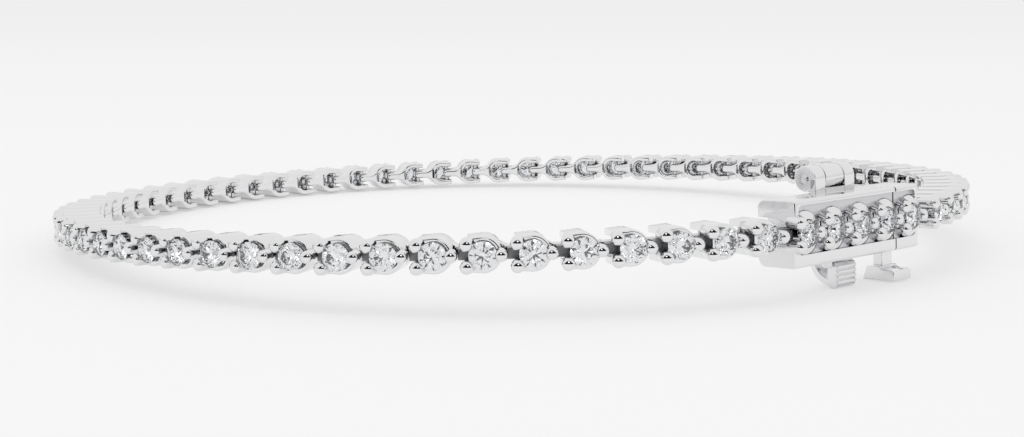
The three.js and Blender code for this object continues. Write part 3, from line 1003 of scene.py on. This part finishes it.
class BRACELET_OT_clasp_box(bpy.types.Operator):
    """Make the clasp's box with its settings, hinge knuckles and catch"""

    bl_idname = "bracelet.clasp_box"
    bl_label = "Clasp box"

    def execute(self, context):
        scene = context.scene
        edge = scene.bracelet_clasp.edge_round / MM
        body = clasp_body(BOX_START, BOX_END, 0.07, 0.02)
        tongue_room = (TONGUE_ROOM_START, BOX_END + 1)
        tools = [
            cutter(lambda bm: recess(bm, BOX_START + RECESS_END_LIP, BOX_END + 1)),
            cutter(lambda bm: block(bm, TONGUE_ROOM_OUT, tongue_room, TONGUE_ROOM_UP)),
            cutter(tail_mouth),
            *[cutter(lambda bm, along=along: stone_seat(bm, along)) for along in CLASP_STONES[:4]],
        ]
        shell = with_clasp_finishes(carved(body, tools, edge, "clasp box"))
        bm = bmesh.new()
        before, after = LATCH_START - KNUCKLE_GAP, LATCH_END + KNUCKLE_GAP
        for start, end in ((before - KNUCKLE_LENGTH, before), (after, after + KNUCKLE_LENGTH)):
            barrel(bm, start, end)
            foot = [(-0.37, 1.5), (0.03, 1.5), (0.03, BARREL_UP), (-0.37, BARREL_UP)]
            extrude_along(bm, foot, start, end, 0.04, 0.04)
        peg_along = LATCH_START - PEG_BEFORE_LATCH
        peg = [(0, 0.3), (0.8, 0.3), (0.92, 0.26), (0.98, 0.18), (1, 0.06)]
        turned(bm, peg, (PEG_OUT, peg_along, -1.6), (PEG_OUT, peg_along, -2.46), 20)
        strip = [(-0.14, 1.7), (0.03, 1.7), (0.03, 2.08), (-0.12, 2.08)]
        extrude_along(bm, strip, before, after, 0.02, 0.02)
        fittings = mesh_from(bm, "fittings")
        settings = clasp_settings(CLASP_STONES[:4], scene.bracelet_setting)
        fittings.materials.append(material_named("polished clasp gold"))
        mesh = joined([shell, fittings, settings], "clasp_box_body")
        put(mesh, "clasp_box_body", CLASP_PLACE, "bracelet", ["clasp_box"])
        return {"FINISHED"}


def tab_outline(under):
    """The thumb tab's (out, up) outline: a grooved underside, a sloping back and a stepped top."""
    start, end = -0.4, 1.75
    groove_count = 4
    groove_pitch = 0.42
    groove = 0.09
    outline = [(start, under)]
    for i in range(groove_count):
        middle = start + groove_pitch * (i + 0.75)
        outline += [(middle - groove, under), (middle, under + groove), (middle + groove, under)]
    step = [(0.7, 0.8), (0.76, 0.78), (0.8, 0.71), (0.88, 0.65), (1.0, 0.62)]
    return [
        *outline,
        (end, under + 0.02),
        (end, under + 0.52),
        (end - 0.08, under + 0.6),
        *[(out, under + rise) for out, rise in reversed(step)],
        (start + 0.28, under + 0.8),
    ]


class BRACELET_OT_clasp_tongue(bpy.types.Operator):
    """Make the clasp's cap with its folded leaf, thumb tab and tail bar"""

    bl_idname = "bracelet.clasp_tongue"
    bl_label = "Clasp tongue"

    def execute(self, context):
        scene = context.scene
        edge = scene.bracelet_clasp.edge_round / MM
        body = clasp_body(CAP_START, CAP_END, 0.02, 0.2)
        tools = [
            cutter(lambda bm: recess(bm, CAP_START - 1, CAP_END - RECESS_END_LIP)),
            cutter(lambda bm: stone_seat(bm, CLASP_STONES[4])),
        ]
        cap = with_clasp_finishes(carved(body, tools, edge, "clasp cap"))
        bm = bmesh.new()
        fold = CAP_START - LEAF_REACH
        half = LEAF_HALF_HEIGHT
        start, end = fold + 0.2, CAP_START + 0.1
        for low, high in LEAF_LEVELS:
            outline = [(start, -half), (end, -half), (end, half), (start, half)]
            extrude_out(bm, outline, low, high, 0.03, 0.03)
        inner, outer = LEAF_LEVELS[0][0], LEAF_LEVELS[1][1]
        bend = [(inner, -half), (outer, -half), (outer, half), (inner, half)]
        extrude_along(bm, bend, fold, fold + 0.26, 0.1, 0.03)
        under = scene.bracelet_clasp.tab_under / MM
        post = [(0.0, under + 0.4), (0.62, under + 0.4), (0.62, -1.5), (0.0, -1.5)]
        extrude_along(bm, post, CAP_START + 0.15, CAP_START + 1.15, 0.04, 0.04)
        extrude_along(bm, tab_outline(under), CAP_START - 0.35, CAP_START + 1.4, 0.03, 0.03)
        bar = bar_outline(CAP_END - 0.3, CLASP_HALF_LENGTH + BAR_PAST_PIN)
        extrude_out(bm, bar, WRIST_FACE, BAR_TOP, 0.06, 0.06)
        fittings = mesh_from(bm, "tongue fittings")
        settings = clasp_settings(CLASP_STONES[4:], scene.bracelet_setting)
        fittings.materials.append(material_named("polished clasp gold"))
        mesh = joined([cap, fittings, settings], "clasp_tongue_body")
        put(
            mesh,
            "clasp_tongue_body",
            CLASP_PLACE,
            "bracelet",
            ["clasp_tongue"],
        )
        return {"FINISHED"}


def latch_plate_outline():
    """The latch plate's (out, up) outline: down the wrist side and round under the box."""
    wrist_side = LATCH_OUT - LATCH_THICKNESS
    bend = 1.45
    centre = (wrist_side + bend, -BOX_HALF_HEIGHT - 0.2)
    return [
        (wrist_side, BARREL_UP),
        *arc(centre, bend, 180, 270, 12),
        *arc(centre, bend - LATCH_THICKNESS, 270, 180, 12),
        (LATCH_OUT, BARREL_UP),
    ]


def thumb_outline(ribs, depth):
    """The thumb block's (out, up) outline, anticlockwise, with round ribs on its outer side."""
    outer = 0.76
    radius = 0.38
    centre = outer - radius
    low = THUMB_UNDER + radius
    high = THUMB_UNDER + 1.58 - radius
    span = high - low + 0.36
    face = []
    for i in range(ribs):
        start = low - 0.18 + span * i / ribs
        for share in (0.04, 0.12, 0.25, 0.4, 0.6, 0.75, 0.88, 0.96):
            swell = math.sin(math.pi * share) ** 0.6
            face.append((outer - depth * (1 - swell), start + span * share / ribs))
    return [
        *arc((centre, low), radius, 180, 330, 8),
        *face,
        *arc((centre, high), radius, 30, 180, 8),
    ]


class BRACELET_OT_safety_latch(bpy.types.Operator):
    """Make the hinged safety latch with its ribbed thumb block"""

    bl_idname = "bracelet.safety_latch"
    bl_label = "Safety latch"

    def execute(self, context):
        sizes = context.scene.bracelet_clasp
        bm = bmesh.new()
        barrel(bm, LATCH_START, LATCH_END)
        extrude_along(bm, latch_plate_outline(), LATCH_START, LATCH_END, 0.05, 0.05)
        thumb = thumb_outline(sizes.rib_count, sizes.rib_depth / MM)
        extrude_along(bm, thumb, THUMB_START, THUMB_END, 0.06, 0.06)
        mesh = mesh_from(bm, "safety_latch_body")
        put(
            mesh,
            "safety_latch_body",
            CLASP_PLACE,
            "latch",
            ["safety_latch"],
            "polished clasp gold",
        )
        return {"FINISHED"}


class BRACELET_OT_hinge_pin(bpy.types.Operator):
    """Make the latch's hinge pin with domed ends"""

    bl_idname = "bracelet.hinge_pin"
    bl_label = "Hinge pin"

    def execute(self, context):
        bm = bmesh.new()
        past = KNUCKLE_GAP + KNUCKLE_LENGTH + WIRE_PAST_KNUCKLE
        start, end = LATCH_START - past, LATCH_END + past
        profile = [(0, 0.1), (0.006, 0.19), (0.018, 0.26), (0.982, 0.26), (0.994, 0.19), (1, 0.1)]
        turned(bm, profile, (BARREL_OUT, start, BARREL_UP), (BARREL_OUT, end, BARREL_UP), 24)
        mesh = mesh_from(bm, "latch_pin_wire")
        put(
            mesh,
            "latch_pin_wire",
            CLASP_PLACE,
            "bracelet",
            ["latch_hinge_pin"],
            "drawn white gold wire",
        )
        return {"FINISHED"}


class BRACELET_OT_clasp_stones(bpy.types.Operator):
    """Make the five stones on the clasp"""

    bl_idname = "bracelet.clasp_stones"
    bl_label = "Clasp stones"

    def execute(self, context):
        for i, along in enumerate(CLASP_STONES):
            node = f"clasp_stone_{i + 1}"
            mesh = brilliant(context.scene.bracelet_stone, node)
            spin = Matrix.Rotation(math.radians(STONE_TURN * i), 4, "X")
            seat = Matrix.Translation((GIRDLE_OUT, along, 0)) @ spin
            place = CLASP_PLACE @ seat
            put(mesh, f"{node}_cut", place, "bracelet", [node], "cut diamond")
        return {"FINISHED"}


# The studio.


def sheet(name, corners, material):
    """A flat stage piece through its corners, in metres."""
    mesh = bpy.data.meshes.new(name)
    mesh.from_pydata([tuple(c) for c in corners], [], [tuple(range(len(corners)))])
    mesh.materials.append(material)
    obj = object_from(mesh, name)
    return obj


def disc(centre, radius):
    """The rim of a disc that faces the bracelet's front."""
    x, y, z = centre
    turns = [2 * math.pi * i / DISC_SIDES for i in range(DISC_SIDES)]
    return [(x + radius * math.cos(turn), y, z + radius * math.sin(turn)) for turn in turns]


def only_reflected(obj):
    """Lets a stage piece be seen only in the metal."""
    obj.visible_camera = False
    obj.visible_diffuse = False
    obj.visible_shadow = False
    obj.visible_transmission = False
    return obj


def only_refracted(obj):
    """Lets a stage piece be seen only through the stones."""
    only_reflected(obj)
    obj.visible_glossy = False
    obj.visible_transmission = True
    return obj


def soft_light(name, place, size, power):
    """A round softbox that faces the middle of the bracelet."""
    light = bpy.data.lights.new(name, "AREA")
    light.shape = "DISK"
    light.size = size
    light.energy = power
    obj = bpy.data.objects.new(name, light)
    obj.location = place
    obj.rotation_euler = (-Vector(place)).to_track_quat("-Z", "Y").to_euler()
    obj.visible_glossy = False
    bpy.context.scene.collection.objects.link(obj)
    return obj


class BRACELET_OT_studio(bpy.types.Operator):
    """Make the pale floor, the soft light and the camera"""

    bl_idname = "bracelet.studio"
    bl_label = "Studio"

    def execute(self, context):
        scene = context.scene
        reach = FLOOR_REACH
        corners = [(-reach, -reach, 0), (reach, -reach, 0), (reach, reach, 0), (-reach, reach, 0)]
        sheet("studio_floor", corners, material_named("matt acrylic floor"))

        world = bpy.data.worlds.new("white tent")
        world.use_nodes = True
        tree = world.node_tree
        tree.nodes.clear()
        way = add_node(tree, "ShaderNodeTexCoord")
        parts = add_node(tree, "ShaderNodeSeparateXYZ", {"Vector": way.outputs["Generated"]})
        height = add_node(
            tree,
            "ShaderNodeMapRange",
            {"Value": parts.outputs["Z"], "From Max": 0.25, "To Min": 0.95, "To Max": 1.12},
        )
        sky = add_node(tree, "ShaderNodeBackground", {"Strength": height.outputs["Result"]})
        add_node(tree, "ShaderNodeOutputWorld", {"Surface": sky.outputs["Background"]})
        scene.world = world

        dark = glow("dark studio", linear("#1C1C1E"), 1.0)
        wedge = [
            (-OPENING_HALF_WIDTH, OPENING_Y, 0.0),
            (OPENING_HALF_WIDTH, OPENING_Y, 0.0),
            (0.0, OPENING_Y, OPENING_HEIGHT),
        ]
        only_reflected(sheet("dark_opening", wedge, dark))
        shade = disc((0, OPENING_Y - 0.01, 0.05), 0.055)
        only_refracted(sheet("viewer_shade", shade, dark))
        lamp_face = glow("lamp face", linear("#FFFFFF"), 2.0)
        only_reflected(sheet("camera_lamp", disc((0, OPENING_Y + 0.01, 0.1), 0.035), lamp_face))
        spark_face = glow("spark lamp", linear("#FFFFFF"), 3.2)
        only_refracted(sheet("spark_lamp", disc((-0.1, OPENING_Y, 0.17), 0.045), spark_face))

        soft_light("top softbox", (-0.12, -0.05, 0.45), 0.3, 0.2)
        soft_light("left softbox", (-0.4, -0.25, 0.25), 0.1, 0.12)
        soft_light("right softbox", (0.42, -0.2, 0.3), 0.1, 0.12)

        camera_data = bpy.data.cameras.new("photo view")
        camera_data.lens = CAMERA_LENS
        camera_data.sensor_width = 36
        camera_data.clip_start = 0.001
        camera = bpy.data.objects.new("photo view", camera_data)
        camera.location = CAMERA_PLACE
        camera.rotation_euler = CAMERA_TURN
        scene.collection.objects.link(camera)
        scene.camera = camera
        scene.view_settings.view_transform = "Standard"
        scene.view_settings.look = "None"
        return {"FINISHED"}


class BRACELET_PT_panel(bpy.types.Panel):
    """The bracelet's pieces and sizes"""

    bl_idname = "BRACELET_PT_panel"
    bl_label = "Bracelet"
    bl_space_type = "VIEW_3D"
    bl_region_type = "UI"
    bl_category = "Bracelet"

    def draw(self, context):
        for group in PROPERTY_GROUPS:
            box = self.layout.box()
            settings = getattr(context.scene, group)
            for name in settings.bl_rna.properties.keys():
                if name not in ("rna_type", "name"):
                    box.prop(settings, name)
        for operator in OPERATORS:
            self.layout.operator(operator.bl_idname)


PROPERTY_GROUPS = {
    "bracelet_stone": StoneSizes,
    "bracelet_setting": SettingSizes,
    "bracelet_clasp": ClaspSizes,
    "bracelet_colours": FinishColours,
}

OPERATORS = (
    BRACELET_OT_link_chains,
    BRACELET_OT_clasp_box,
    BRACELET_OT_clasp_tongue,
    BRACELET_OT_safety_latch,
    BRACELET_OT_hinge_pin,
    BRACELET_OT_clasp_stones,
    BRACELET_OT_studio,
)


def register():
    for group in PROPERTY_GROUPS.values():
        bpy.utils.register_class(group)
    for name, group in PROPERTY_GROUPS.items():
        setattr(bpy.types.Scene, name, PointerProperty(type=group))
    for operator in OPERATORS:
        bpy.utils.register_class(operator)
    bpy.utils.register_class(BRACELET_PT_panel)


def unregister():
    bpy.utils.unregister_class(BRACELET_PT_panel)
    for operator in reversed(OPERATORS):
        bpy.utils.unregister_class(operator)
    for name, group in reversed(PROPERTY_GROUPS.items()):
        delattr(bpy.types.Scene, name)
        bpy.utils.unregister_class(group)


def main():
    register()
    bpy.ops.bracelet.link_chains()
    bpy.ops.bracelet.clasp_box()
    bpy.ops.bracelet.clasp_tongue()
    bpy.ops.bracelet.safety_latch()
    bpy.ops.bracelet.hinge_pin()
    bpy.ops.bracelet.clasp_stones()
    bpy.ops.bracelet.studio()


if __name__ == "__main__":
    main()
